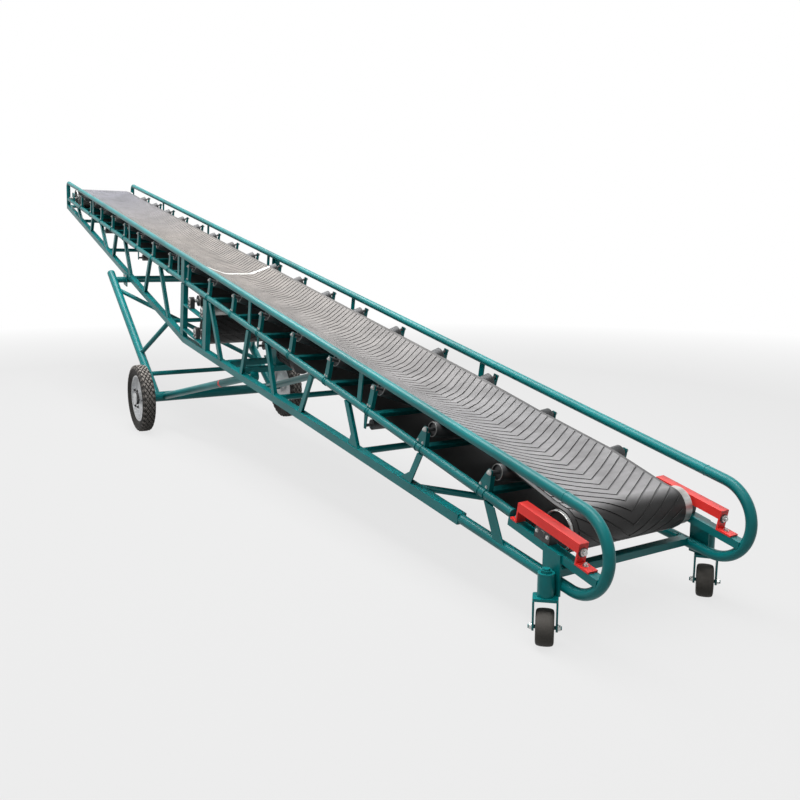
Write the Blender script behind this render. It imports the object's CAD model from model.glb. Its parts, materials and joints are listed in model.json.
import json
from math import cos, pi, radians, sin, tan

import bpy
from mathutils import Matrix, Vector


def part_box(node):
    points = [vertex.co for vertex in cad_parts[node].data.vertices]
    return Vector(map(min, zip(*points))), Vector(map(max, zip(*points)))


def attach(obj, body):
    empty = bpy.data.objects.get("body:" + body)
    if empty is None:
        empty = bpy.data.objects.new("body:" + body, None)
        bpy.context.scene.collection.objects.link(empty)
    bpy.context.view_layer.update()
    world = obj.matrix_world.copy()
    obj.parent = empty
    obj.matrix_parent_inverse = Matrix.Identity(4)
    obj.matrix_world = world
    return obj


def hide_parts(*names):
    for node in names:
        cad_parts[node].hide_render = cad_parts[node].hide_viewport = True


bl_info = {
    "name": "Mobile Belt Conveyor Finish",
    "version": (1, 1, 0),
    "blender": (4, 5, 0),
    "location": "View3D > Sidebar > Conveyor",
    "description": "Dresses the packed conveyor: chevron belt, treaded tyres, fittings, welds, paint and stage",
    "category": "Object",
}

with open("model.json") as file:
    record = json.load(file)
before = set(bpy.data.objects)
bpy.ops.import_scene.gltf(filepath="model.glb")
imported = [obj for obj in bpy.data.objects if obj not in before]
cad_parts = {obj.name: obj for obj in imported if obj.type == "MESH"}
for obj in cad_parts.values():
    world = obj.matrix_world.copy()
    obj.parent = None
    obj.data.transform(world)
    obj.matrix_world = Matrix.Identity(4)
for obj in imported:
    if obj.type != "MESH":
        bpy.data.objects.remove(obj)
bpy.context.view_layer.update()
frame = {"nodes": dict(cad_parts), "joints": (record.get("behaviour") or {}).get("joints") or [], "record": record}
SIDES = (-1, 1)
SIDE_NAMES = {"left": -1, "right": 1}
SMOOTH_ANGLE = radians(35)

# The belt's mesh: steps across it, round a drum and across a rib, how many times longer they are on a straight run,
# faces on top of a rib, its bevel as a share of its height and its depth in the belt
BED_STEP = 0.025
BEND_STEP = 0.0125
RIB_STEP = 0.024
STRAIGHT_STEPS = 40
RIB_FACES = 3
RIB_BEVEL_SHARE = 0.6
RIB_SINK = 0.001

# Lacing clips: place along the belt and height over it, half width, depth in the belt, gap to the belt's edge
CLIP_FORM = ((-0.022, 0.0), (-0.016, 0.0022), (0.016, 0.0022), (0.022, 0.0))
CLIP_HALF = 0.0045
CLIP_SINK = 0.002
CLIP_EDGE = 0.01

# Road tyres: share of the width under the crown's blocks, drop of the crown's edges, depth of a block's foot
CROWN_SHARE = 0.88
CROWN_DROP = 0.006
BLOCK_SINK = 0.004
# a block's edge under its top, and the shares of its size at its foot, its edge and its top
BLOCK_EDGE = 0.002
BLOCK_SHARES = (1.0, 0.97, 0.86)
# a lug's rows: share of the tyre's half width, drop under the tread's floor
LUG_ROWS = ((0.84, 0.001), (0.93, 0.012), (0.972, 0.026))
LUG_SHARE = 0.26
LUG_TOP_SHARE = 0.8
LUG_SINK = 0.003
LUG_HEIGHT = 0.0022
# raised rings on the sidewall: share of the tyre's half width, height over the bead
SIDEWALL_ROWS = ((0.9, 0.026), (0.965, 0.044), (0.975, 0.06))

# Hub caps and valves: rows of height and radius, and the place of each foot
CAP_FORM = ((0, 0.054), (0.02, 0.054), (0.0265, 0.048), (0.0268, 0.03), (0.0285, 0.028), (0.0285, 0.002))
CAP_FOOT = 0.0286
VALVE_FORM = ((0, 0.004), (0.03, 0.004), (0.034, 0.003))
VALVE_FOOT = 0.012
VALVE_REACH = 0.16

# Parts of bolts and nuts: number of sides, then height and radius as shares of the size
BOLT_WASHER = (20, ((0, 1.08), (0.18, 1.08)))
BOLT_HEAD = (6, ((0.18, 0.86), (0.7325, 0.86), (0.83, 0.74)))
BOLT_THREAD = (14, ((0.5, 0.5), (1.15, 0.5), (1.22, 0.4)))

# Sizes of bolts and nuts
SHAFT_NUT = 0.012
FOOT_BOLT = 0.0065
WHEEL_NUT = 0.0125
FLANGE_NUT = 0.011
BEARING_BOLT = 0.008
SADDLE_BOLT = 0.01
CASTER_NUT = 0.014

# Places of the bolts on what they hold, and the thickness of the head plates
FOOT_SHARES = (0.24, 0.76)
FOOT_RISE = 0.016
FRONT_NUT_REACH = 0.026
REAR_NUT_REACH = 0.017
BLOCK_BOLT_REACH = 0.032
BEARING_BOLT_REACH = 0.022
BEARING_BOLT_DROP = 0.044
HEAD_BOLT_REACH = 0.05
HEAD_PLATE = 0.01
SADDLE_BOLT_REACH = 0.042
# rows of height and radius
WASHER_FORM = ((0, 0.0205), (0.0025, 0.0205), (0.003, 0.02))
BEARING_CAP_FORM = ((0, 0.026), (0.002, 0.026), (0.004, 0.024))

# Number of sides of the round forms
TYRE_SIDES = 96
SIDEWALL_SIDES = 72
CASTER_SIDES = 72
HUB_CAP_SIDES = 40
VALVE_SIDES = 12
WASHER_SIDES = 28
BEARING_CAP_SIDES = 32
ROLLER_RIM_SIDES = 32
DRUM_RIM_SIDES = 48
SEAM_SIDES = 36
BAND_SIDES = 36
FLOOR_SIDES = 96

# Thickness of rings and seams, the band's half width, and how far they lie in or over what they go round
SIDEWALL_RING = 0.0022
CLAMP_WIRE = 0.003
CLAMP_OVER = 0.0015
ROLLER_RIM = 0.0022
ROLLER_RIM_INSET = 0.0028
DRUM_RIM = 0.003
DRUM_RIM_INSET = 0.0045
DRUM_END_INSET = 0.001
SEAM = 0.0022
SEAM_INSET = 0.0005
HEAD_SEAM_U = 0.012
BAND_HALF = 0.012
BAND_OVER = 0.0008

# The rails' own frame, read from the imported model: u runs along the rail from its head end, w square to it
MOUNTS = {mount["name"]: mount for mount in frame["record"]["mounts"]}
JOINTS = {joint["name"]: joint for joint in frame["joints"]}
UP = Vector(MOUNTS["hopper_pad_left"]["axis"])
ALONG = Vector((UP.z, 0, -UP.x))
ACROSS = Vector((0, 1, 0))


def middle(node):
    """Middle of a node's box."""
    low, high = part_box(node)
    return (low + high) / 2


def extent(node):
    """Size of a node's box."""
    low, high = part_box(node)
    return high - low


HALF = abs(MOUNTS["hopper_pad_left"]["pos_m"][1])
RAIL_R = extent("top_rails").y / 2 - HALF
RAIL_HEAD = Vector((
    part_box("top_rails")[0].x + RAIL_R * UP.x,
    0,
    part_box("top_rails")[1].z - RAIL_R * UP.z,
))
RAIL_LENGTH = (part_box("top_rails")[1].x - RAIL_R * UP.x - RAIL_HEAD.x) / ALONG.x


def rail_u(point):
    """Distance of a point along the rail from its head end."""
    return (Vector(point) - RAIL_HEAD).dot(ALONG)


def rail_w(point):
    """Height of a point above the rail's middle line, square to it."""
    return (Vector(point) - RAIL_HEAD).dot(UP)


def at(u, w, y):
    """Point u along the rail, w above it and y to the right."""
    return RAIL_HEAD + ALONG * u + UP * w + ACROSS * y


# Drums and the middle chord, read from the boxes of their nodes
DRUMS = {name: (middle(name), extent(name).z / 2) for name in ("tail_drum", "head_drum", "drive_drum")}
BEND_BOX = extent("bend_drums")
BEND_REACH = (BEND_BOX.x - BEND_BOX.z) / 2 / (UP.z - UP.x)
BEND_R = BEND_BOX.z / 2 - BEND_REACH * UP.x
BEND_W = rail_w(middle("bend_drums"))
CHORD_W = rail_w(middle("mid_chords"))
CHORD_R = extent("mid_chords").y / 2 - HALF


class BeltSettings(bpy.types.PropertyGroup):
    """Sizes of the chevron belt."""

    width: bpy.props.FloatProperty(
        name="Width", description="Width of the belt", default=0.65, unit="LENGTH")
    drift: bpy.props.FloatProperty(
        name="Drift", description="How far the belt runs over to the right", default=-0.02, unit="LENGTH")
    thickness: bpy.props.FloatProperty(
        name="Thickness", description="Belt with its ribs", default=0.01, unit="LENGTH")
    gap: bpy.props.FloatProperty(
        name="Drum gap", description="Gap between belt and drums", default=0.0003, precision=4, unit="LENGTH")
    flat: bpy.props.FloatProperty(
        name="Flat", description="Level middle of the trough", default=0.23, unit="LENGTH")
    fold_radius: bpy.props.FloatProperty(
        name="Fold radius", description="Radius of the bend at the foot of each wing", default=0.22, unit="LENGTH")
    lead: bpy.props.FloatProperty(
        name="Lead", description="Flat belt before each end drum", default=0.06, unit="LENGTH")
    rib_pitch: bpy.props.FloatProperty(
        name="Rib pitch", description="Distance from chevron to chevron", default=0.052, unit="LENGTH")
    groove: bpy.props.FloatProperty(
        name="Groove", description="Gap between two chevrons", default=0.0055, unit="LENGTH")
    rib_height: bpy.props.FloatProperty(
        name="Rib height", description="Height of the ribs over the grooves", default=0.0036, unit="LENGTH")
    rib_slope: bpy.props.FloatProperty(
        name="Rib slope", description="Run of a chevron's arm over its reach", default=0.6)
    margin: bpy.props.FloatProperty(
        name="Margin", description="Plain band along each edge", default=0.022, unit="LENGTH")
    lacing_u: bpy.props.FloatProperty(
        name="Lacing place", description="Place of the joint along the rail", default=5.0, unit="LENGTH")
    clips: bpy.props.IntProperty(
        name="Lacing clips", description="Clips across the joint", default=46, min=4)


class IdlerSettings(bpy.types.PropertyGroup):
    """Places of the idlers under the belt."""

    first: bpy.props.FloatProperty(
        name="First", description="First idler along the rail", default=0.752, unit="LENGTH")
    pitch: bpy.props.FloatProperty(
        name="Pitch", description="Distance from idler to idler", default=0.5244, precision=4, unit="LENGTH")
    run_count: bpy.props.IntProperty(
        name="Run idlers", description="Idlers with a deep trough", default=15, min=2)
    low_count: bpy.props.IntProperty(
        name="Low idlers", description="Flatter idlers before the tail drum", default=2, min=2)
    run_angle: bpy.props.FloatProperty(
        name="Run angle", description="Rise of the wings along the run", default=radians(20), subtype="ANGLE")
    low_angle: bpy.props.FloatProperty(
        name="Low angle", description="Rise of the wings over the low idlers", default=radians(8), subtype="ANGLE")
    run_drop: bpy.props.FloatProperty(
        name="Run drop", description="Rail to the trough's underside", default=0.1237, precision=4, unit="LENGTH")
    low_drop: bpy.props.FloatProperty(
        name="Low drop", description="The same over the low idlers", default=0.1007, precision=4, unit="LENGTH")
    run_shaft: bpy.props.FloatProperty(
        name="Run shaft", description="Rail to the shaft's end in the bracket", default=0.06, unit="LENGTH")
    low_shaft: bpy.props.FloatProperty(
        name="Low shaft", description="The same in a low bracket", default=0.0987, precision=4, unit="LENGTH")
    run_foot: bpy.props.FloatVectorProperty(
        name="Run foot", description="Both ends of a bracket's foot from the idler", default=(-0.049, -0.005),
        size=2, unit="LENGTH")
    low_foot: bpy.props.FloatVectorProperty(
        name="Low foot", description="The same of a low bracket", default=(-0.071, 0.013), size=2, unit="LENGTH")
    roller_r: bpy.props.FloatProperty(
        name="Roller radius", description="Radius of the rollers with the gap", default=0.0383, precision=4,
        unit="LENGTH")
    roller_end: bpy.props.FloatProperty(
        name="Roller end", description="Wing's foot to the roller's outer end", default=0.255, unit="LENGTH")


class FittingSettings(bpy.types.PropertyGroup):
    """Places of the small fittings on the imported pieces."""

    front_plate: bpy.props.FloatProperty(
        name="Front plate", description="Front of the take-up beam along the rail", default=9.748, unit="LENGTH")
    rear_plate: bpy.props.FloatProperty(
        name="Rear plate", description="Rear of the take-up beam along the rail", default=9.375, unit="LENGTH")
    flange_drop: bpy.props.FloatProperty(
        name="Flange drop", description="Rail to the top of the take-up flanges", default=0.213, unit="LENGTH")
    arm_foot: bpy.props.FloatProperty(
        name="Arm foot", description="Middle to a drag arm's foot on the axle", default=0.49, unit="LENGTH")
    arm_eye: bpy.props.FloatProperty(
        name="Arm eye", description="Middle to a drag arm's eye on its pivot", default=0.33, unit="LENGTH")
    arm_radius: bpy.props.FloatProperty(
        name="Arm radius", description="Radius of the drag arms", default=0.03, unit="LENGTH")
    band_share: bpy.props.FloatProperty(
        name="Band place", description="Share of the arm's length to its red band", default=0.69, min=0, max=1)
    drum_end: bpy.props.FloatProperty(
        name="Drum end", description="Middle to the end of the tail drum", default=0.355, unit="LENGTH")
    caster_width: bpy.props.FloatProperty(
        name="Caster width", description="Width of the casters' tyres", default=0.074, unit="LENGTH")
    caster_core: bpy.props.FloatProperty(
        name="Caster core", description="Radius inside the casters' tyres", default=0.048, unit="LENGTH")
    fork_face: bpy.props.FloatProperty(
        name="Fork face", description="Caster's middle to the outside of its fork", default=0.051, unit="LENGTH")
    dish_face: bpy.props.FloatProperty(
        name="Dish face", description="Wheel's middle to the face under its nuts", default=0.0402, precision=4,
        unit="LENGTH")
    nut_circle: bpy.props.FloatProperty(
        name="Nut circle", description="Radius of the ring of wheel nuts", default=0.082, unit="LENGTH")
    nut_count: bpy.props.IntProperty(
        name="Wheel nuts", description="Nuts on each wheel", default=6, min=3)


class PaintSettings(bpy.types.PropertyGroup):
    """Colours of the finishes."""

    green: bpy.props.FloatVectorProperty(
        name="Frame green", description="Enamel of the frame", default=(0.0, 0.165, 0.17),
        subtype="COLOR", min=0, max=1)
    red: bpy.props.FloatVectorProperty(
        name="Take-up red", description="Enamel of the take-up beams", default=(0.94, 0.045, 0.038),
        subtype="COLOR", min=0, max=1)
    belt: bpy.props.FloatVectorProperty(
        name="Belt rubber", description="Clean rubber of the belt", default=(0.014, 0.0135, 0.0135),
        subtype="COLOR", min=0, max=1)
    dust: bpy.props.FloatVectorProperty(
        name="Dust", description="Dry dust on what faces up", default=(0.268, 0.264, 0.268),
        subtype="COLOR", min=0, max=1)
    soil: bpy.props.FloatVectorProperty(
        name="Soil", description="Brown dirt on the tyres and the middle of the belt", default=(0.322, 0.294, 0.27),
        subtype="COLOR", min=0, max=1)
    tyre: bpy.props.FloatVectorProperty(
        name="Tyre rubber", description="Rubber of the road tyres", default=(0.02, 0.019, 0.018),
        subtype="COLOR", min=0, max=1)
    caster: bpy.props.FloatVectorProperty(
        name="Caster rubber", description="Solid tyres of the casters", default=(0.036, 0.034, 0.03),
        subtype="COLOR", min=0, max=1)
    steel: bpy.props.FloatVectorProperty(
        name="Steel", description="Bare and zinc plated steel", default=(0.5, 0.5, 0.49),
        subtype="COLOR", min=0, max=1)
    roller: bpy.props.FloatVectorProperty(
        name="Roller", description="Dark worn skin of rollers and drums", default=(0.055, 0.056, 0.058),
        subtype="COLOR", min=0, max=1)
    silver: bpy.props.FloatVectorProperty(
        name="Rim silver", description="Paint of the road wheels", default=(0.68, 0.69, 0.7),
        subtype="COLOR", min=0, max=1)
    iron: bpy.props.FloatVectorProperty(
        name="Iron", description="Castings and dark fittings", default=(0.03, 0.031, 0.032),
        subtype="COLOR", min=0, max=1)


class TreadSettings(bpy.types.PropertyGroup):
    """Sizes of the road tyres' tread."""

    depth: bpy.props.FloatProperty(
        name="Depth", description="Depth of the tread", default=0.011, unit="LENGTH")
    count: bpy.props.IntProperty(
        name="Blocks", description="Blocks around the tyre in each row", default=34, min=8)
    rows: bpy.props.IntProperty(
        name="Rows", description="Rows of diamond blocks across the crown", default=5, min=3)
    groove: bpy.props.FloatProperty(
        name="Groove", description="Width of the grooves between blocks", default=0.0075, unit="LENGTH")


class StageSettings(bpy.types.PropertyGroup):
    """Camera, floor and light."""

    azimuth: bpy.props.FloatProperty(
        name="Azimuth", description="Turn of the camera round the conveyor", default=radians(58.514),
        subtype="ANGLE")
    elevation: bpy.props.FloatProperty(
        name="Elevation", description="Angle of the camera above the horizon", default=radians(9.308),
        subtype="ANGLE")
    position: bpy.props.FloatVectorProperty(
        name="Camera", description="Place of the camera", default=(7.014635, -2.61252, 1.5006),
        subtype="TRANSLATION")
    lens: bpy.props.FloatProperty(
        name="Lens", description="Focal length in millimetres", default=37.907)
    floor_radius: bpy.props.FloatProperty(
        name="Floor", description="Radius of the floor", default=60, unit="LENGTH")
    floor_colour: bpy.props.FloatVectorProperty(
        name="Floor colour", description="The floor's own tone under its share of plain white",
        default=(0.22, 0.22, 0.22), subtype="COLOR", min=0, max=1)
    floor_glow: bpy.props.FloatProperty(
        name="Floor white", description="Share of plain white in the floor near the object", default=0.76,
        min=0, max=1)
    sky: bpy.props.FloatProperty(
        name="Sky", description="Strength of the light from all round", default=0.09, min=0)


class Field:
    """A value, colour or shader in a node graph. Arithmetic on it adds Math nodes."""

    def __init__(self, graph, socket):
        self.graph = graph
        self.socket = socket

    def math(self, operation, first, second):
        """Adds one Math node."""
        return self.graph.node("ShaderNodeMath", {"operation": operation}, {0: first, 1: second})

    def __add__(self, other):
        return self.math("ADD", self, other)

    def __radd__(self, other):
        return self.math("ADD", other, self)

    def __sub__(self, other):
        return self.math("SUBTRACT", self, other)

    def __rsub__(self, other):
        return self.math("SUBTRACT", other, self)

    def __mul__(self, other):
        return self.math("MULTIPLY", self, other)

    def __rmul__(self, other):
        return self.math("MULTIPLY", other, self)

    def held(self, low, high):
        """The value between two limits, spread over 0 to 1."""
        return self.graph.node("ShaderNodeMapRange", {"clamp": True}, {0: self, 1: low, 2: high, 3: 0.0, 4: 1.0})


class Graph:
    """The nodes of a material or of the world."""

    def __init__(self, tree):
        self.nodes = tree.nodes
        self.links = tree.links

    def node(self, kind, settings, inputs, output=0):
        """Adds a node: its settings first, then the values or links of its sockets."""
        made = self.nodes.new(kind)
        for name, value in settings.items():
            setattr(made, name, value)
        for key, value in inputs.items():
            self.feed(made.inputs[key], value)
        return Field(self, made.outputs[output])

    def feed(self, socket, value):
        """Links a field to a socket, or sets the socket's own value."""
        if isinstance(value, Field):
            self.links.new(value.socket, socket)
        else:
            socket.default_value = value

    def show(self, output, shader):
        """Links a shader to the surface of the output node."""
        self.feed(self.nodes[output].inputs["Surface"], shader)

    def blend(self, share, first, second):
        """A colour between two, by a share from 0 to 1."""
        return self.node("ShaderNodeMix", {"data_type": "RGBA"}, {0: share, 6: first, 7: second}, 2)

    def seen(self):
        """One for what the camera sees, also in metal and through glass, and zero for light on matt surfaces."""
        rays = [self.node("ShaderNodeLightPath", {}, {}, f"Is {kind} Ray")
                for kind in ("Camera", "Glossy", "Transmission")]
        return (rays[0] + rays[1] + rays[2]).held(0.0, 1.0)


class Finish(Graph):
    """One material, built round a Principled shader."""

    def __init__(self, name):
        self.material = bpy.data.materials.new(name)
        self.material.use_nodes = True
        super().__init__(self.material.node_tree)
        self.shader = self.nodes["Principled BSDF"]
        self.place = self.node("ShaderNodeTexCoord", {}, {}, "Object")

    def set(self, **sockets):
        """Sets sockets of the shader, named with underscores for spaces."""
        for name, value in sockets.items():
            self.feed(self.shader.inputs[name.replace("_", " ")], value)

    def noise(self, scale, detail=3.0, stretch=(1, 1, 1)):
        """Cloudy noise fixed to the piece, about 0.3 to 0.7."""
        place = self.node("ShaderNodeVectorMath", {"operation": "MULTIPLY"}, {0: self.place, 1: stretch})
        return self.node("ShaderNodeTexNoise", {}, {"Vector": place, "Scale": scale, "Detail": detail}, "Fac")

    def facing(self, axis):
        """How far the surface faces along an axis, from -1 to 1."""
        normal = self.node("ShaderNodeNewGeometry", {}, {}, "Normal")
        return self.node("ShaderNodeSeparateXYZ", {}, {0: normal}, axis)

    def along(self):
        """Place along the conveyor, in metres from its middle to the tail."""
        return self.node("ShaderNodeSeparateXYZ", {}, {0: self.place}, "X")

    def relief(self, height, strength, distance):
        """Small relief in the surface's normal."""
        bump = self.node("ShaderNodeBump", {}, {"Strength": strength, "Distance": distance, "Height": height})
        self.set(Normal=bump)


# Tones outside the settings, the distances over which the floor turns white, and how much paler worn blocks are
RUST = (0.12, 0.07, 0.045)
DRUM_STAIN = (0.16, 0.11, 0.08)
IRON_DUST = (0.2, 0.19, 0.18)
LACING_ZINC = (0.72, 0.72, 0.7)
RIM_STEEL = (0.2, 0.2, 0.195)
HEAD_DUST = (0.306, 0.306, 0.34)
SKY_TINT = (0.97, 0.99, 1.0)
FLOOR_FADE = (6.0, 14.0)
WHITE = (1, 1, 1)
BLOCK_WEAR = 3.0

# Stretches along the conveyor over which the belt's dust changes, and the stretch round the tail drum that has none
TAIL_STRETCH = (0.2, 3.6)
MIDDLE_STRETCH = (-4.4, -1.6)
DRUM_STRETCH = (0.01, 0.075)


def colour(values, scale=1.0):
    """A colour with its alpha, made lighter or darker by a scale."""
    return (*(min(1.0, value * scale) for value in values), 1.0)


def enamel(name, paint, dust, dustiness, gloss):
    """Brushed-on gloss enamel with thin places, runs, scuffs and some dust on top."""
    finish = Finish(name)
    clouds = finish.noise(2.3, 4.0)
    runs = finish.noise(14.0, 2.0)
    grain = finish.noise(130.0, 2.0)
    thin = clouds.held(0.42, 0.66)
    settled = finish.facing("Z").held(0.35, 1.0) * finish.noise(9.0, 5.0).held(0.5, 0.78) * dustiness
    scuffs = finish.noise(55.0, 6.0).held(0.68, 0.78) * clouds.held(0.45, 0.7)
    coat = finish.blend(thin, colour(paint, 1.08), colour(paint, 0.74))
    coat = finish.blend(runs.held(0.55, 0.75) * 0.25, coat, colour(paint, 1.35))
    coat = finish.blend(scuffs * 0.3, coat, colour(dust, 0.4))
    finish.set(
        Base_Color=finish.blend(settled, coat, colour(dust)),
        Roughness=gloss + grain * 0.1 + settled * 0.5 + scuffs * 0.25,
        Coat_Weight=0.1 - settled * 0.08,
        Coat_Roughness=0.32,
        Specular_IOR_Level=0.2,
    )
    finish.relief(runs, 0.1, 0.002)
    return finish.material


def rubber(name, base, dust, dustiness, rough):
    """Matt rubber, with dust that lies on what faces up and in worn patches."""
    finish = Finish(name)
    clouds = finish.noise(3.1, 5.0)
    streaks = finish.noise(11.0, 4.0, (0.25, 1.0, 0.25))
    grain = finish.noise(240.0, 3.0)
    up = finish.facing("Z").held(-0.1, 0.8)
    film = (clouds * 0.55 + streaks * 0.45).held(0.3, 0.66)
    share = (0.35 + film * 0.65) * (0.18 + up * 0.82) * dustiness
    worn = finish.blend(grain.held(0.4, 0.65) * 0.35, colour(base), colour(base, 1.9))
    finish.set(
        Base_Color=finish.blend(share, worn, colour(dust)),
        Roughness=rough + share * 0.2 - grain * 0.08,
        Specular_IOR_Level=0.2,
    )
    finish.relief(grain + clouds * 0.6, 0.3, 0.0015)
    return finish.material


def belt_face(name, base, dust, soil, amount):
    """Face of the belt: pale with dust at the tail, browner up the run, clean and dark where it faces down."""
    finish = Finish(name)
    tail = finish.along().held(*TAIL_STRETCH)
    patches = finish.noise(5.0, 6.0).held(0.36, 0.62)
    rubbed = finish.noise(26.0, 4.0, (1.0, 0.3, 1.0)).held(0.34, 0.66)
    grain = finish.noise(260.0, 3.0)
    film = 0.58 + patches * 0.26 + rubbed * 0.16
    drum_x = DRUMS["tail_drum"][0].x
    round_drum = finish.along().held(*(drum_x + shift for shift in DRUM_STRETCH))
    share = finish.facing("Z").held(0.42, 0.93) * (0.75 + tail * 0.25) * film * (1 - round_drum) * amount
    middle_run = finish.along().held(*MIDDLE_STRETCH)
    tone = finish.blend(middle_run, colour(HEAD_DUST), colour(soil))
    tone = finish.blend(tail, tone, colour(dust))
    worn = finish.blend(grain.held(0.4, 0.65) * 0.35, colour(base), colour(base, 2.2))
    finish.set(
        Base_Color=finish.blend(share, worn, tone),
        Roughness=0.46 + share * 0.3 - grain * 0.08,
        Specular_IOR_Level=0.24,
    )
    finish.relief(grain + rubbed * 0.5, 0.3, 0.0012)
    return finish.material


def bare_steel(name, base, metal, rough):
    """Worn or plated steel with stains and fine turning marks."""
    finish = Finish(name)
    stains = finish.noise(7.0, 6.0)
    marks = finish.noise(60.0, 2.0, (1.0, 0.12, 1.0))
    rust = stains.held(0.58, 0.74) * marks.held(0.35, 0.7)
    tone = finish.blend(marks, colour(base, 0.72), colour(base, 1.2))
    finish.set(
        Base_Color=finish.blend(rust * 0.4, tone, colour(RUST)),
        Metallic=metal - rust * 0.5,
        Roughness=rough + marks * 0.16 + rust * 0.3,
    )
    finish.relief(marks + stains * 0.5, 0.18, 0.0008)
    return finish.material


def drum_steel(name, base, dark):
    """Drum shell rubbed bright by the belt, with dark ends."""
    finish = Finish(name)
    sideways = finish.facing("Y")
    ends = (sideways * sideways).held(0.2, 0.5)
    rubbed = finish.noise(40.0, 3.0, (1.0, 0.1, 1.0))
    stains = finish.noise(9.0, 5.0).held(0.5, 0.7)
    shell = finish.blend(rubbed.held(0.3, 0.7), colour(base, 0.7), colour(base, 1.25))
    shell = finish.blend(stains * 0.4, shell, colour(DRUM_STAIN))
    finish.set(
        Base_Color=finish.blend(ends, shell, colour(dark)),
        Metallic=0.6 - ends * 0.4 - stains * 0.2,
        Roughness=0.3 + rubbed * 0.2 + ends * 0.2,
    )
    finish.relief(rubbed, 0.15, 0.0008)
    return finish.material


def casting(name, base, rough):
    """Dark painted casting with a sandy skin and greasy patches."""
    finish = Finish(name)
    sand = finish.noise(320.0, 4.0)
    grease = finish.noise(12.0, 5.0).held(0.5, 0.68)
    settled = finish.facing("Z").held(0.2, 1.0) * 0.3
    tone = finish.blend(sand.held(0.35, 0.7), colour(base, 0.7), colour(base, 1.6))
    finish.set(
        Base_Color=finish.blend(settled, tone, colour(IRON_DUST)),
        Roughness=rough + sand * 0.15 - grease * 0.22,
        Metallic=0.1,
    )
    finish.relief(sand + grease * 0.5, 0.35, 0.001)
    return finish.material


FINISHES = {}
DRUM_NODES = ("tail_drum", "head_drum", "drive_drum", "bend_drums")


def mix_finishes():
    """Makes every finish once: the record's slots by their names, then the finishes of added pieces."""
    paint = bpy.context.scene.conveyor_paint
    blocks = [value * BLOCK_WEAR for value in paint.tyre]
    FINISHES.update({
        "frame_green": enamel("frame_green_enamel", paint.green, paint.dust, 0.05, 0.32),
        "take_up_red": enamel("take_up_red_enamel", paint.red, paint.dust, 0.05, 0.34),
        "belt_rubber": rubber("belt_dark_rubber", paint.belt, paint.dust, 0.06, 0.6),
        "tyre_rubber": rubber("tyre_rubber", paint.tyre, paint.soil, 0.08, 0.72),
        "caster_rubber": rubber("caster_rubber", paint.caster, paint.soil, 0.3, 0.7),
        "roller_steel": bare_steel("roller_skin", paint.roller, 0.35, 0.36),
        "bright_steel": bare_steel("zinc_steel", paint.steel, 0.9, 0.26),
        "rim_silver": bare_steel("rim_silver_paint", paint.silver, 0.45, 0.36),
        "bearing_iron": casting("bearing_iron", paint.iron, 0.5),
        "drum_steel": drum_steel("drum_rubbed_steel", paint.steel, paint.iron),
        "belt_ribs": belt_face("belt_dusty_ribs", paint.belt, paint.dust, paint.soil, 1.0),
        "belt_grooves": belt_face("belt_dusty_grooves", paint.belt, paint.dust, paint.soil, 0.42),
        "tread_blocks": rubber("tread_dusty_blocks", blocks, paint.soil, 0.95, 0.75),
        "lacing": bare_steel("belt_lacing_zinc", LACING_ZINC, 0.3, 0.4),
        "roller_rims": bare_steel("roller_rim_steel", RIM_STEEL, 0.5, 0.4),
    })


def spokes(axis, count):
    """Evenly spaced directions square to an axis."""
    side = axis.orthogonal().normalized()
    other = axis.cross(side)
    angles = [2 * pi * k / count for k in range(count)]
    return [side * cos(angle) + other * sin(angle) for angle in angles]


def both_halves(profile):
    """A profile from the middle out and back, closed by its mirror image."""
    return profile + [(-height, radius) for height, radius in reversed(profile[1:-1])]


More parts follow.
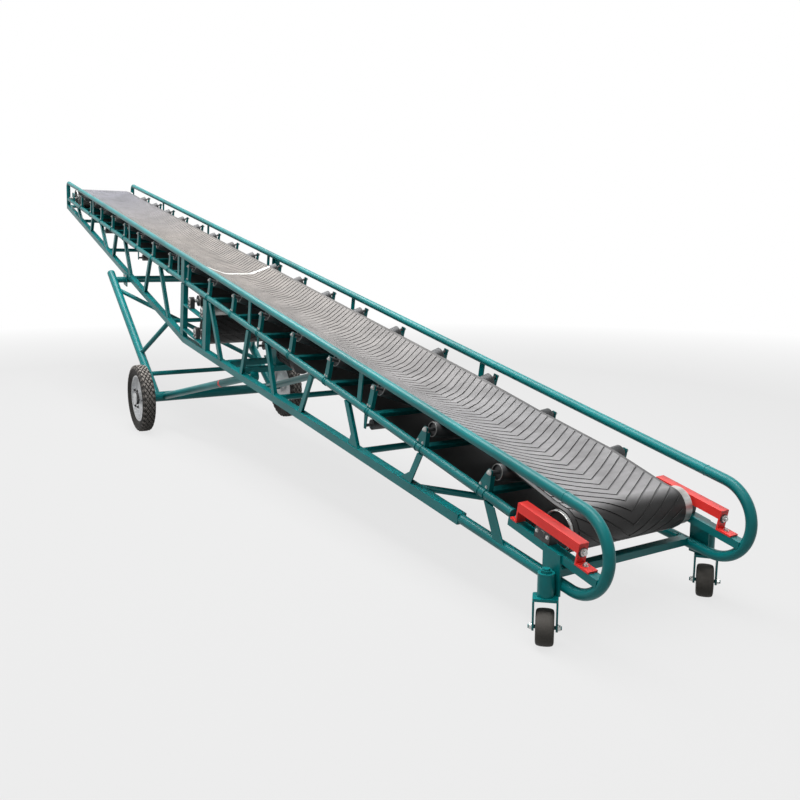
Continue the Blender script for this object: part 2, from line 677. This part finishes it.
class Shape:
    """Points and faces of one piece, gathered before its mesh is made."""

    def __init__(self):
        self.points = []
        self.faces = []
        self.slots = []

    def rings(self, rings, slot=0, loop=False):
        """A skin over a row of closed rings of equal length; loop joins the last ring to the first."""
        start = len(self.points)
        count = len(rings[0])
        for ring in rings:
            self.points.extend(tuple(point) for point in ring)
        for i in range(len(rings) if loop else len(rings) - 1):
            here = start + i * count
            there = start + (i + 1) % len(rings) * count
            for k in range(count):
                after = (k + 1) % count
                self.faces.append((here + k, here + after, there + after, there + k))
                self.slots.append(slot)
        if not loop:
            last = start + (len(rings) - 1) * count
            self.faces.append(tuple(start + k for k in reversed(range(count))))
            self.faces.append(tuple(last + k for k in range(count)))
            self.slots.extend((slot, slot))

    def turned(self, centre, axis, profile, count, loop=False):
        """A turned or many-sided form: profile rows are height along the axis and radius."""
        axis = Vector(axis).normalized()
        outs = spokes(axis, count)
        rings = [[centre + axis * height + out * radius for out in outs] for height, radius in profile]
        self.rings(rings, loop=loop)

    def bolt(self, centre, axis, size, parts=(BOLT_WASHER, BOLT_HEAD)):
        """A hexagon head on a washer, standing on a face."""
        for sides, form in parts:
            self.turned(centre, axis, [(height * size, radius * size) for height, radius in form], sides)

    def nut(self, centre, axis, size):
        """A nut on a washer with the thread standing through it."""
        self.bolt(centre, axis, size, (BOLT_WASHER, BOLT_HEAD, BOLT_THREAD))

    def hoop(self, centre, axis, radius, thickness, count=28, sides=8):
        """A round wire bent to a full ring."""
        axis = Vector(axis).normalized()
        angles = [2 * pi * j / sides for j in range(sides)]
        rings = [
            [centre + out * (radius + thickness * cos(angle)) + axis * thickness * sin(angle) for angle in angles]
            for out in spokes(axis, count)
        ]
        self.rings(rings, loop=True)

    def make(self, name, slot, body="chassis", finishes=None):
        """Makes the mesh with the slot's finish, or the finishes given, and lets it ride on a body."""
        mesh = bpy.data.meshes.new(name)
        mesh.from_pydata(self.points, [], self.faces)
        for finish in finishes or (slot,):
            mesh.materials.append(FINISHES[finish])
        mesh.polygons.foreach_set("material_index", self.slots)
        mesh.update()
        piece = bpy.data.objects.new(name, mesh)
        bpy.context.scene.collection.objects.link(piece)
        mesh.shade_smooth()
        mesh.set_sharp_from_angle(angle=SMOOTH_ANGLE)
        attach(piece, body)
        return piece


def idlers(settings):
    """Every idler: its place, wing angle, drop of the belt's underside, drop of the shaft's end, bracket's foot."""
    run = (settings.run_angle, settings.run_drop, settings.run_shaft, tuple(settings.run_foot))
    low = (settings.low_angle, settings.low_drop, settings.low_shaft, tuple(settings.low_foot))
    kinds = [run] * settings.run_count + [low] * settings.low_count
    return [(settings.first + settings.pitch * i, *kind) for i, kind in enumerate(kinds)]


class Belt:
    """The endless belt as a map from the length along it, the reach across it and the height in it."""

    def __init__(self, settings, idler_settings):
        self.settings = settings
        gap = settings.gap
        tail, tail_r = DRUMS["tail_drum"]
        head, head_r = DRUMS["head_drum"]
        drive, drive_r = DRUMS["drive_drum"]
        tail_u, tail_w = rail_u(tail), rail_w(tail)
        head_u, head_w = rail_u(head), rail_w(head)
        drive_u, drive_w = rail_u(drive), rail_w(drive)
        low = tail_w - tail_r - gap
        right = drive_u + BEND_REACH
        left = drive_u - BEND_REACH
        bend_r = BEND_R + gap + settings.thickness
        # along the top: place, wing angle and height of the underside
        head_top = head_w + head_r + gap
        tail_top = tail_w + tail_r + gap
        top = [(head_u, 0, head_top), (head_u + settings.lead, 0, head_top)]
        top += [(u, angle, -drop) for u, angle, drop, _, _ in idlers(idler_settings)]
        top += [(tail_u - settings.lead, 0, tail_top), (tail_u, 0, tail_top)]
        self.start_u = head_u
        self.runs = [self.level(start, end) for start, end in zip(top, top[1:])]
        self.runs += [
            self.wrap(tail_u, tail_w, tail_r + gap, pi / 2, -pi / 2),
            self.level((tail_u, 0, low), (right, 0, low)),
            self.wrap(right, BEND_W, -bend_r, pi / 2, pi),
            self.upright(right - bend_r + settings.thickness, BEND_W, drive_w, 1),
            self.wrap(drive_u, drive_w, drive_r + gap, 0, -pi),
            self.upright(left + bend_r - settings.thickness, drive_w, BEND_W, -1),
            self.wrap(left, BEND_W, -bend_r, 0, pi / 2),
            self.level((left, 0, low), (head_u, 0, low)),
            self.wrap(head_u, head_w, head_r + gap, -pi / 2, -3 * pi / 2),
        ]
        self.length = sum(length for length, _, _ in self.runs)

    @staticmethod
    def level(start, end):
        """A run along the rails; the belt's face is up on the way to the tail and down on the way back."""
        way = 1 if end[0] > start[0] else -1

        def place(share):
            u, angle, w = (a + (b - a) * share for a, b in zip(start, end))
            return (u, w), (0, way), angle

        return abs(end[0] - start[0]), start[1] != end[1], place

    @staticmethod
    def upright(u, w_from, w_to, face):
        """A straight run square to the rails; face is the way the belt's outside looks along u."""

        def place(share):
            return (u, w_from + (w_to - w_from) * share), (face, 0), 0

        return abs(w_to - w_from), False, place

    def wrap(self, u, w, radius, from_angle, to_angle):
        """A bend round a drum; a negative radius has the belt's outside on the drum."""
        way = 1 if radius > 0 else -1

        def place(share):
            angle = from_angle + (to_angle - from_angle) * share
            out = (cos(angle), sin(angle))
            return (u + abs(radius) * out[0], w + abs(radius) * out[1]), (way * out[0], way * out[1]), 0

        return abs(to_angle - from_angle) * (abs(radius) + way * self.settings.thickness / 2), True, place

    def folded(self, reach, height, angle):
        """Place across and over the underside's middle, with the wings raised by an angle on rounded folds."""
        radius = self.settings.fold_radius
        start = self.settings.flat / 2 - radius * tan(angle / 2)
        turn = min(angle, max(0.0, (abs(reach) - start) / radius))
        beyond = max(0.0, abs(reach) - start - radius * angle)
        y = min(abs(reach), start) + (radius - height) * sin(turn) + beyond * cos(turn)
        w = radius - (radius - height) * cos(turn) + beyond * sin(turn)
        return (y if reach > 0 else -y), w

    def point(self, along, reach, height):
        """Point on or in the belt; reach is measured from the trough's middle."""
        along %= self.length
        for length, _, place in self.runs:
            if along <= length:
                break
            along -= length
        (u, w), (face_u, face_w), angle = place(along / length)
        y, over = self.folded(reach, height, angle)
        return at(u + face_u * over, w + face_w * over, y)

    def stations(self, step):
        """Lengths along the belt that follow its straight runs and bends."""
        marks = []
        start = 0.0
        for length, bent, _ in self.runs:
            count = max(1, round(length / (step if bent else STRAIGHT_STEPS * step)))
            marks.extend(start + length * k / count for k in range(count))
            start += length
        return marks

    def across(self, margin, step):
        """Reaches from one edge to the other, less a margin, in even steps with the middle line among them."""
        half = self.settings.width / 2 - margin
        count = round(half / step)
        return [self.settings.drift + half * k / count for k in range(-count, count + 1)]


# A face's slot is its finish's place in these rows
BELT_FINISHES = ("belt_rubber", "belt_ribs", "belt_grooves")
TYRE_FINISHES = ("tyre_rubber", "tread_blocks")


class CONVEYOR_OT_belt(bpy.types.Operator):
    """Makes the belt with its chevron ribs and its lacing in place of the plain belt"""

    bl_idname = "conveyor.belt"
    bl_label = "Chevron Belt"

    def execute(self, context):
        settings = context.scene.conveyor_belt
        belt = Belt(settings, context.scene.conveyor_idlers)
        shape = Shape()
        self.bed(shape, belt, settings)
        self.ribs(shape, belt, settings)
        piece = shape.make("chevron_belt", "belt_rubber", finishes=BELT_FINISHES)
        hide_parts("belt_carrying_run", "belt_return_run")
        self.lacing(belt, settings)
        return {"FINISHED"}

    def bed(self, shape, belt, settings):
        """The plain belt under the ribs."""
        bed = settings.thickness - settings.rib_height
        across = belt.across(0.0, BED_STEP)
        rings = []
        for along in belt.stations(BEND_STEP):
            upper = [belt.point(along, reach, bed) for reach in across]
            lower = [belt.point(along, reach, 0) for reach in reversed(across)]
            rings.append(upper + lower)
        shape.rings(rings, loop=True)
        # the outer face shows in the grooves between the ribs
        faces = len(across) - 1
        for i in range(len(rings)):
            first = i * len(rings[0])
            shape.slots[first:first + faces] = [BELT_FINISHES.index("belt_grooves")] * faces

    def ribs(self, shape, belt, settings):
        """Chevron ribs all along the belt, each in short steps so that it bends round a drum."""
        bed = settings.thickness - settings.rib_height
        count = round(belt.length / settings.rib_pitch)
        pitch = belt.length / count
        half = (pitch - settings.groove) / 2
        across = belt.across(settings.margin, RIB_STEP)
        flank = half - settings.rib_height * RIB_BEVEL_SHARE
        foot = bed - RIB_SINK
        rows = [(-half, foot)]
        rows += [(-flank + 2 * flank * k / RIB_FACES, settings.thickness) for k in range(RIB_FACES + 1)]
        rows += [(half, foot)]
        rows += [(flank - 2 * flank * k / RIB_FACES, foot) for k in range(1, RIB_FACES)]
        for i in range(count):
            rings = []
            for reach in across:
                line = pitch * i - settings.rib_slope * abs(reach - settings.drift)
                rings.append([belt.point(line + shift, reach, height) for shift, height in rows])
            shape.rings(rings, BELT_FINISHES.index("belt_ribs"))

    def lacing(self, belt, settings):
        """Bright clips in a row across the belt, where its ends are joined."""
        clips = Shape()
        spot = settings.lacing_u - belt.start_u
        top = settings.thickness
        half = settings.width / 2 - CLIP_EDGE
        for k in range(settings.clips):
            reach = settings.drift - half + 2 * half * (k + 0.5) / settings.clips
            rings = []
            for shift, height in CLIP_FORM:
                upper = [(-CLIP_HALF, height), (CLIP_HALF, height)]
                lower = [(CLIP_HALF, -CLIP_SINK), (-CLIP_HALF, -CLIP_SINK)]
                rings.append([belt.point(spot + shift, reach + side, top + over) for side, over in upper + lower])
            clips.rings(rings)
        clips.make("belt_lacing_clips", "bright_steel", finishes=("lacing",))


class CONVEYOR_OT_tyres(bpy.types.Operator):
    """Makes the treaded road tyres and the hub caps with their nuts"""

    bl_idname = "conveyor.tyres"
    bl_label = "Road Tyres"

    def execute(self, context):
        tread = context.scene.conveyor_tread
        fittings = context.scene.conveyor_fittings
        for side, outward in SIDE_NAMES.items():
            self.tyre(tread, side)
            self.hub(fittings, side, outward)
        return {"FINISHED"}

    def tyre(self, tread, side):
        """Carcass turned round the axle, with rows of diamond blocks on its crown and lugs on its shoulders."""
        centre = middle(f"tyre_{side}")
        radius = extent(f"tyre_{side}").z / 2
        half = extent(f"tyre_{side}").y / 2
        bead = extent(f"rim_{side}").z / 2
        floor = radius - tread.depth
        # from the middle of the bead round the sidewall to the crown: reach, radius
        profile = [
            (0.0, bead), (0.62 * half, bead), (0.7 * half, bead + 0.004), (0.8 * half, bead + 0.012),
            (0.84 * half, bead + 0.016), (0.93 * half, bead + 0.034), (0.985 * half, bead + 0.052),
            (0.97 * half, bead + 0.066), (0.93 * half, floor - 0.014), (0.84 * half, floor - 0.004),
            (0.5 * half, floor), (0.0, floor + 0.001),
        ]
        shape = Shape()
        shape.turned(centre, ACROSS, both_halves(profile), TYRE_SIDES, loop=True)
        for way in SIDES:
            for reach, rise in SIDEWALL_ROWS:
                spot = centre + ACROSS * way * reach * half
                shape.hoop(spot, ACROSS, bead + rise, SIDEWALL_RING, SIDEWALL_SIDES, sides=6)
        # rows of diamonds, every second one moved on by half a block, lower at the crown's edges
        step = 2 * pi / tread.count
        wide = 2 * CROWN_SHARE * half / (tread.rows + 1)
        for row in range(tread.rows):
            y = (row - (tread.rows - 1) / 2) * wide
            top = radius - CROWN_DROP * (abs(y) / (CROWN_SHARE * half)) ** 2
            for k in range(tread.count):
                angle = step * (k + 0.5 * (row % 2))
                self.block(shape, centre, (floor - BLOCK_SINK, top), (y, wide), angle, step, tread.groove)
        for k in range(tread.count):
            for way in SIDES:
                self.lug(shape, centre, half, floor, way, step * k, step)
        piece = shape.make(f"treaded_tyre_{side}", "tyre_rubber", f"wheel_{side}", TYRE_FINISHES)
        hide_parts(f"tyre_{side}")

    def block(self, shape, centre, radii, row, angle, step, groove):
        """One block of the tread, a diamond with drawn-in top."""
        low, high = radii
        middle_y, wide = row
        long = step * high / 2
        # half diagonals less the groove's share at the corners
        lean = (wide ** 2 + long ** 2) ** 0.5
        across = wide - groove / 2 * lean / long
        around = (long - groove / 2 * lean / wide) / high
        rings = []
        for radius, share in zip((low, high - BLOCK_EDGE, high), BLOCK_SHARES):
            ring = []
            for side, ahead in ((-1, 0), (0, -1), (1, 0), (0, 1)):
                turn = angle + ahead * around * share
                y = middle_y + side * across * share
                ring.append(centre + Vector((cos(turn) * radius, y, sin(turn) * radius)))
            rings.append(ring)
        shape.rings(rings, TYRE_FINISHES.index("tread_blocks"))

    def lug(self, shape, centre, half, floor, way, angle, step):
        """A short rib from the crown's edge down the shoulder."""
        out = Vector((cos(angle), 0, sin(angle)))
        around = Vector((-sin(angle), 0, cos(angle)))
        normal = (out + ACROSS * way).normalized()
        rings = []
        for reach, drop in LUG_ROWS:
            radius = floor - drop
            spot = centre + out * radius + ACROSS * way * reach * half
            wide = around * step * radius * LUG_SHARE
            foot = normal * LUG_SINK
            top = normal * LUG_HEIGHT
            narrow = wide * LUG_TOP_SHARE
            rings.append([spot - wide - foot, spot + wide - foot, spot + narrow + top, spot - narrow + top])
        shape.rings(rings, TYRE_FINISHES.index("tread_blocks"))

    def hub(self, fittings, side, outward):
        """Dark cap round the hub, wheel nuts on the dish and a valve."""
        centre = middle(f"tyre_{side}")
        axis = ACROSS * outward
        face = extent(f"rim_{side}").y / 2
        cap = Shape()
        cap.turned(centre + axis * (face - CAP_FOOT), axis, CAP_FORM, HUB_CAP_SIDES)
        nuts = Shape()
        for k in range(fittings.nut_count):
            angle = 2 * pi * k / fittings.nut_count
            out = Vector((cos(angle), 0, sin(angle)))
            nuts.nut(centre + axis * fittings.dish_face + out * fittings.nut_circle, axis, WHEEL_NUT)
        nuts.turned(centre + axis * VALVE_FOOT + Vector((VALVE_REACH, 0, 0)), axis, VALVE_FORM, VALVE_SIDES)
        cap.make(f"hub_cap_{side}", "bearing_iron", f"wheel_{side}")
        nuts.make(f"wheel_nuts_{side}", "bearing_iron", f"wheel_{side}")


class CONVEYOR_OT_caster_tyres(bpy.types.Operator):
    """Makes the rounded solid tyres of the casters in place of the plain ones"""

    bl_idname = "conveyor.caster_tyres"
    bl_label = "Caster Tyres"

    def execute(self, context):
        fittings = context.scene.conveyor_fittings
        half = fittings.caster_width / 2
        core = fittings.caster_core
        for side in SIDE_NAMES:
            joint = JOINTS[f"caster_wheel_{side}_spin"]
            centre = Vector(joint["pos_m"])
            radius = centre.z
            # from the middle of the core round to the crown: reach, radius
            profile = [
                (0.0, core), (0.8 * half, core), (0.95 * half, core + 0.004), (half, core + 0.009),
                (0.985 * half, radius - 0.014), (0.93 * half, radius - 0.0075), (0.8 * half, radius - 0.0036),
                (0.55 * half, radius - 0.0012), (0.25 * half, radius - 0.0002), (0.0, radius),
            ]
            shape = Shape()
            shape.turned(centre, joint["axis"], both_halves(profile), CASTER_SIDES, loop=True)
            name = f"caster_tyre_{side}"
            piece = shape.make(f"rounded_{name}", "caster_rubber", f"caster_wheel_{side}")
            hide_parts(name)
        return {"FINISHED"}


class CONVEYOR_OT_idler_fittings(bpy.types.Operator):
    """Makes the shaft nuts, foot bolts, clamps and roller rims of the idlers"""

    bl_idname = "conveyor.idler_fittings"
    bl_label = "Idler Fittings"

    def execute(self, context):
        settings = context.scene.conveyor_idlers
        flat = context.scene.conveyor_belt.flat / 2
        plate = extent("idler_brackets").y / 2
        nuts, clamps, rims = Shape(), Shape(), Shape()
        for u, angle, drop, shaft, foot in idlers(settings):
            for side in SIDES:
                nuts.nut(at(u, -shaft, side * plate), ACROSS * side, SHAFT_NUT)
                for share in FOOT_SHARES:
                    foot_u = u + foot[0] + (foot[1] - foot[0]) * share
                    nuts.bolt(at(foot_u, CHORD_W + CHORD_R + FOOT_RISE, side * plate), ACROSS * side, FOOT_BOLT)
                    clamps.hoop(at(foot_u, CHORD_W, side * HALF), ALONG, CHORD_R + CLAMP_OVER, CLAMP_WIRE)
                rim_y = flat + settings.roller_r * sin(angle) + settings.roller_end * cos(angle)
                rim_w = -drop - settings.roller_r * cos(angle) + settings.roller_end * sin(angle)
                axis = ACROSS * side * cos(angle) + UP * sin(angle)
                radius = settings.roller_r - ROLLER_RIM_INSET
                rims.hoop(at(u, rim_w, side * rim_y), axis, radius, ROLLER_RIM, ROLLER_RIM_SIDES)
        nuts.make("idler_bolts", "bright_steel")
        clamps.make("idler_clamps", "frame_green")
        rims.make("roller_rims", "roller_steel", finishes=("roller_rims",))
        return {"FINISHED"}


class CONVEYOR_OT_take_up_fittings(bpy.types.Operator):
    """Makes the bolts and washers of the screw take-up at the tail"""

    bl_idname = "conveyor.take_up_fittings"
    bl_label = "Take-up Fittings"

    def execute(self, context):
        fittings = context.scene.conveyor_fittings
        flange = -fittings.flange_drop
        screw = rail_w(middle("take_up_screws"))
        drum_u, drum_w = rail_u(middle("tail_drum")), rail_w(middle("tail_drum"))
        outer = extent("take_up_blocks").y / 2
        rim_y = fittings.drum_end - DRUM_END_INSET
        rim_r = DRUMS["tail_drum"][1] - DRUM_RIM_INSET
        bolts, washers, rims = Shape(), Shape(), Shape()
        for side in SIDES:
            rims.hoop(at(drum_u, drum_w, side * rim_y), ACROSS, rim_r, DRUM_RIM, DRUM_RIM_SIDES)
            for u in (fittings.front_plate + FRONT_NUT_REACH, fittings.rear_plate - REAR_NUT_REACH):
                bolts.nut(at(u, flange, side * HALF), UP, FLANGE_NUT)
            for shift in SIDES:
                spot = at(drum_u + shift * BLOCK_BOLT_REACH, drum_w, side * outer)
                bolts.bolt(spot, ACROSS * side, BEARING_BOLT)
            washers.turned(at(fittings.front_plate, screw, side * HALF), ALONG, WASHER_FORM, WASHER_SIDES)
        bolts.make("take_up_bolts", "bright_steel")
        rims.make("drum_rims", "bright_steel")
        washers.make("take_up_washers", "bearing_iron")
        return {"FINISHED"}


class CONVEYOR_OT_fasteners(bpy.types.Operator):
    """Makes the bolts of the bearings, the head plates and the saddle plates, and the casters' axle nuts"""

    bl_idname = "conveyor.fasteners"
    bl_label = "Bolts and Nuts"

    def execute(self, context):
        bolts = Shape()
        self.bearings(bolts)
        self.head_plates(bolts)
        self.saddle_plates(bolts)
        bolts.make("bearing_bolts", "bright_steel")
        for side in SIDE_NAMES:
            self.caster(context.scene.conveyor_fittings, side)
        return {"FINISHED"}

    def bearings(self, bolts):
        """Two bolts and a cap on each bearing of the drive."""
        outer = extent("drum_bearings").y / 2
        drive = middle("drive_drum")
        places = [(rail_u(drive), rail_w(drive))]
        places += [(rail_u(drive) + way * BEND_REACH, BEND_W) for way in SIDES]
        for u, w in places:
            for side in SIDES:
                for shift in SIDES:
                    spot = at(u + shift * BEARING_BOLT_REACH, w - BEARING_BOLT_DROP, side * outer)
                    bolts.bolt(spot, ACROSS * side, BEARING_BOLT)
                bolts.turned(at(u, w, side * outer), ACROSS * side, BEARING_CAP_FORM, BEARING_CAP_SIDES)

    def head_plates(self, bolts):
        """Four bolts on the inside of each head bearing plate."""
        head = middle("head_drum")
        inner = extent("head_bearings").y / 2 - HEAD_PLATE
        for side in SIDES:
            for du in SIDES:
                for dw in SIDES:
                    u = rail_u(head) + du * HEAD_BOLT_REACH
                    w = rail_w(head) + dw * HEAD_BOLT_REACH
                    bolts.bolt(at(u, w, side * inner), ACROSS * -side, BEARING_BOLT)

    def saddle_plates(self, bolts):
        """Two bolts on each plate that holds the struts' shaft."""
        saddle = middle("saddle_plates")
        plate = extent("saddle_plates").y / 2
        for side in SIDES:
            for shift in SIDES:
                u = rail_u(saddle) + shift * SADDLE_BOLT_REACH
                w = rail_w(saddle) + SADDLE_BOLT_REACH
                bolts.bolt(at(u, w, side * plate), ACROSS * side, SADDLE_BOLT)

    def caster(self, fittings, side):
        """Nuts on both ends of a caster's axle."""
        joint = JOINTS[f"caster_wheel_{side}_spin"]
        axis = Vector(joint["axis"])
        nuts = Shape()
        for way in SIDES:
            nuts.bolt(Vector(joint["pos_m"]) + axis * way * fittings.fork_face, axis * way, CASTER_NUT)
        nuts.make(f"caster_axle_nuts_{side}", "bright_steel", f"caster_{side}")


class CONVEYOR_OT_welds(bpy.types.Operator):
    """Makes the raised seams where the rails are joined to their bends, and the red band on the left drag arm"""

    bl_idname = "conveyor.welds"
    bl_label = "Weld Seams"

    def execute(self, context):
        seams = Shape()
        for side in SIDES:
            for u in (HEAD_SEAM_U, RAIL_LENGTH):
                seams.hoop(at(u, 0, side * HALF), ALONG, RAIL_R - SEAM_INSET, SEAM, SEAM_SIDES)
        seams.make("weld_seams", "frame_green")
        fittings = context.scene.conveyor_fittings
        axle = Vector(JOINTS["wheel_left_spin"]["pos_m"])
        pivot = middle("pivot_pins")
        foot = Vector((axle.x, -fittings.arm_foot, axle.z))
        eye = Vector((pivot.x, -fittings.arm_eye, pivot.z))
        radius = fittings.arm_radius + BAND_OVER
        ends = [(-BAND_HALF, radius), (BAND_HALF, radius)]
        band = Shape()
        band.turned(foot.lerp(eye, fittings.band_share), eye - foot, ends, BAND_SIDES)
        band.make("arm_band", "take_up_red")
        return {"FINISHED"}


class CONVEYOR_OT_paint(bpy.types.Operator):
    """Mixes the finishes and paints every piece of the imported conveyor"""

    bl_idname = "conveyor.paint"
    bl_label = "Paint"

    def execute(self, context):
        mix_finishes()
        for row in frame["record"]["subparts"]:
            piece = frame["nodes"][row["node"]]
            finish = "drum_steel" if row["node"] in DRUM_NODES else row["material_slot"]
            piece.data.materials.clear()
            piece.data.materials.append(FINISHES[finish])
        return {"FINISHED"}


# name, place, aim, width, depth, power
LAMPS = (
    ("top_lamp", (0.5, -0.8, 7.5), (0.5, 0, 0), 15, 4, 1500),
    ("key_lamp", (6, -9, 6), (1, 0, 1), 6, 4, 230),
    ("back_lamp", (-3, 10, 7), (0, 0, 1), 10, 3, 150),
)


class CONVEYOR_OT_stage(bpy.types.Operator):
    """Sets up the floor, the light and the camera"""

    bl_idname = "conveyor.stage"
    bl_label = "Stage"

    def execute(self, context):
        stage = context.scene.conveyor_stage
        self.floor(stage)
        self.sky(stage)
        self.lamps()
        self.camera(stage)
        context.scene.view_settings.view_transform = "Standard"
        return {"FINISHED"}

    def floor(self, stage):
        """A pale floor that fades to the white of the background."""
        bpy.ops.mesh.primitive_circle_add(vertices=FLOOR_SIDES, radius=stage.floor_radius, fill_type="NGON")
        floor = bpy.context.object
        floor.name = "studio_floor"
        finish = Finish("studio_floor")
        finish.set(Base_Color=colour(stage.floor_colour), Roughness=0.9, Specular_IOR_Level=0.0)
        reach = finish.node("ShaderNodeVectorMath", {"operation": "LENGTH"}, {0: finish.place}, "Value")
        white = finish.node("ShaderNodeEmission", {}, {"Color": colour(WHITE), "Strength": 1.0})
        share = (stage.floor_glow + reach.held(*FLOOR_FADE) * (1 - stage.floor_glow)) * finish.seen()
        lit = Field(finish, finish.shader.outputs[0])
        finish.show("Material Output", finish.node("ShaderNodeMixShader", {}, {0: share, 1: lit, 2: white}))
        floor.data.materials.append(finish.material)

    def sky(self, stage):
        """Even light from all round, and plain white for the camera."""
        world = bpy.data.worlds.new("studio")
        bpy.context.scene.world = world
        world.use_nodes = True
        graph = Graph(world.node_tree)
        light = graph.node("ShaderNodeBackground", {}, {"Color": colour(SKY_TINT), "Strength": stage.sky})
        white = graph.node("ShaderNodeBackground", {}, {"Color": colour(WHITE), "Strength": 1.0})
        mixed = graph.node("ShaderNodeMixShader", {}, {0: graph.seen(), 1: light, 2: white})
        graph.show("World Output", mixed)

    def lamps(self):
        """A wide soft lamp overhead, one beside the camera and one behind."""
        for name, place, aim, width, depth, power in LAMPS:
            data = bpy.data.lights.new(name, "AREA")
            data.shape = "RECTANGLE"
            data.size = width
            data.size_y = depth
            data.energy = power
            lamp = bpy.data.objects.new(name, data)
            bpy.context.scene.collection.objects.link(lamp)
            lamp.location = place
            lamp.rotation_euler = (Vector(aim) - Vector(place)).to_track_quat("-Z", "Y").to_euler()

    def camera(self, stage):
        """The photograph's view."""
        data = bpy.data.cameras.new("photo_view")
        data.lens = stage.lens
        camera = bpy.data.objects.new("photo_view", data)
        bpy.context.scene.collection.objects.link(camera)
        level = cos(stage.elevation)
        ahead = Vector((-sin(stage.azimuth) * level, cos(stage.azimuth) * level, -sin(stage.elevation)))
        camera.location = stage.position
        camera.rotation_euler = ahead.to_track_quat("-Z", "Y").to_euler()
        bpy.context.scene.camera = camera


class CONVEYOR_PT_sidebar(bpy.types.Panel):
    """Lists the steps and their settings"""

    bl_label = "Conveyor"
    bl_idname = "CONVEYOR_PT_sidebar"
    bl_space_type = "VIEW_3D"
    bl_region_type = "UI"
    bl_category = "Conveyor"

    def draw(self, context):
        for step in STEPS:
            self.layout.operator(step.bl_idname)
        for group in SETTINGS:
            box = self.layout.box()
            settings = getattr(context.scene, group)
            for name in settings.bl_rna.properties.keys():
                if name not in ("rna_type", "name"):
                    box.prop(settings, name)


SETTINGS = {
    "conveyor_belt": BeltSettings,
    "conveyor_idlers": IdlerSettings,
    "conveyor_fittings": FittingSettings,
    "conveyor_paint": PaintSettings,
    "conveyor_tread": TreadSettings,
    "conveyor_stage": StageSettings,
}
STEPS = (
    CONVEYOR_OT_paint,
    CONVEYOR_OT_belt,
    CONVEYOR_OT_tyres,
    CONVEYOR_OT_caster_tyres,
    CONVEYOR_OT_idler_fittings,
    CONVEYOR_OT_take_up_fittings,
    CONVEYOR_OT_fasteners,
    CONVEYOR_OT_welds,
    CONVEYOR_OT_stage,
)


def register():
    """Adds the settings, the steps and the sidebar."""
    for name, group in SETTINGS.items():
        bpy.utils.register_class(group)
        setattr(bpy.types.Scene, name, bpy.props.PointerProperty(type=group))
    for step in (*STEPS, CONVEYOR_PT_sidebar):
        bpy.utils.register_class(step)


def unregister():
    """Takes them away again."""
    for step in (CONVEYOR_PT_sidebar, *reversed(STEPS)):
        bpy.utils.unregister_class(step)
    for name, group in SETTINGS.items():
        delattr(bpy.types.Scene, name)
        bpy.utils.unregister_class(group)


def main():
    """Runs every step in order."""
    register()
    bpy.ops.conveyor.paint()
    bpy.ops.conveyor.belt()
    bpy.ops.conveyor.tyres()
    bpy.ops.conveyor.caster_tyres()
    bpy.ops.conveyor.idler_fittings()
    bpy.ops.conveyor.take_up_fittings()
    bpy.ops.conveyor.fasteners()
    bpy.ops.conveyor.welds()
    bpy.ops.conveyor.stage()


if __name__ == "__main__":
    main()
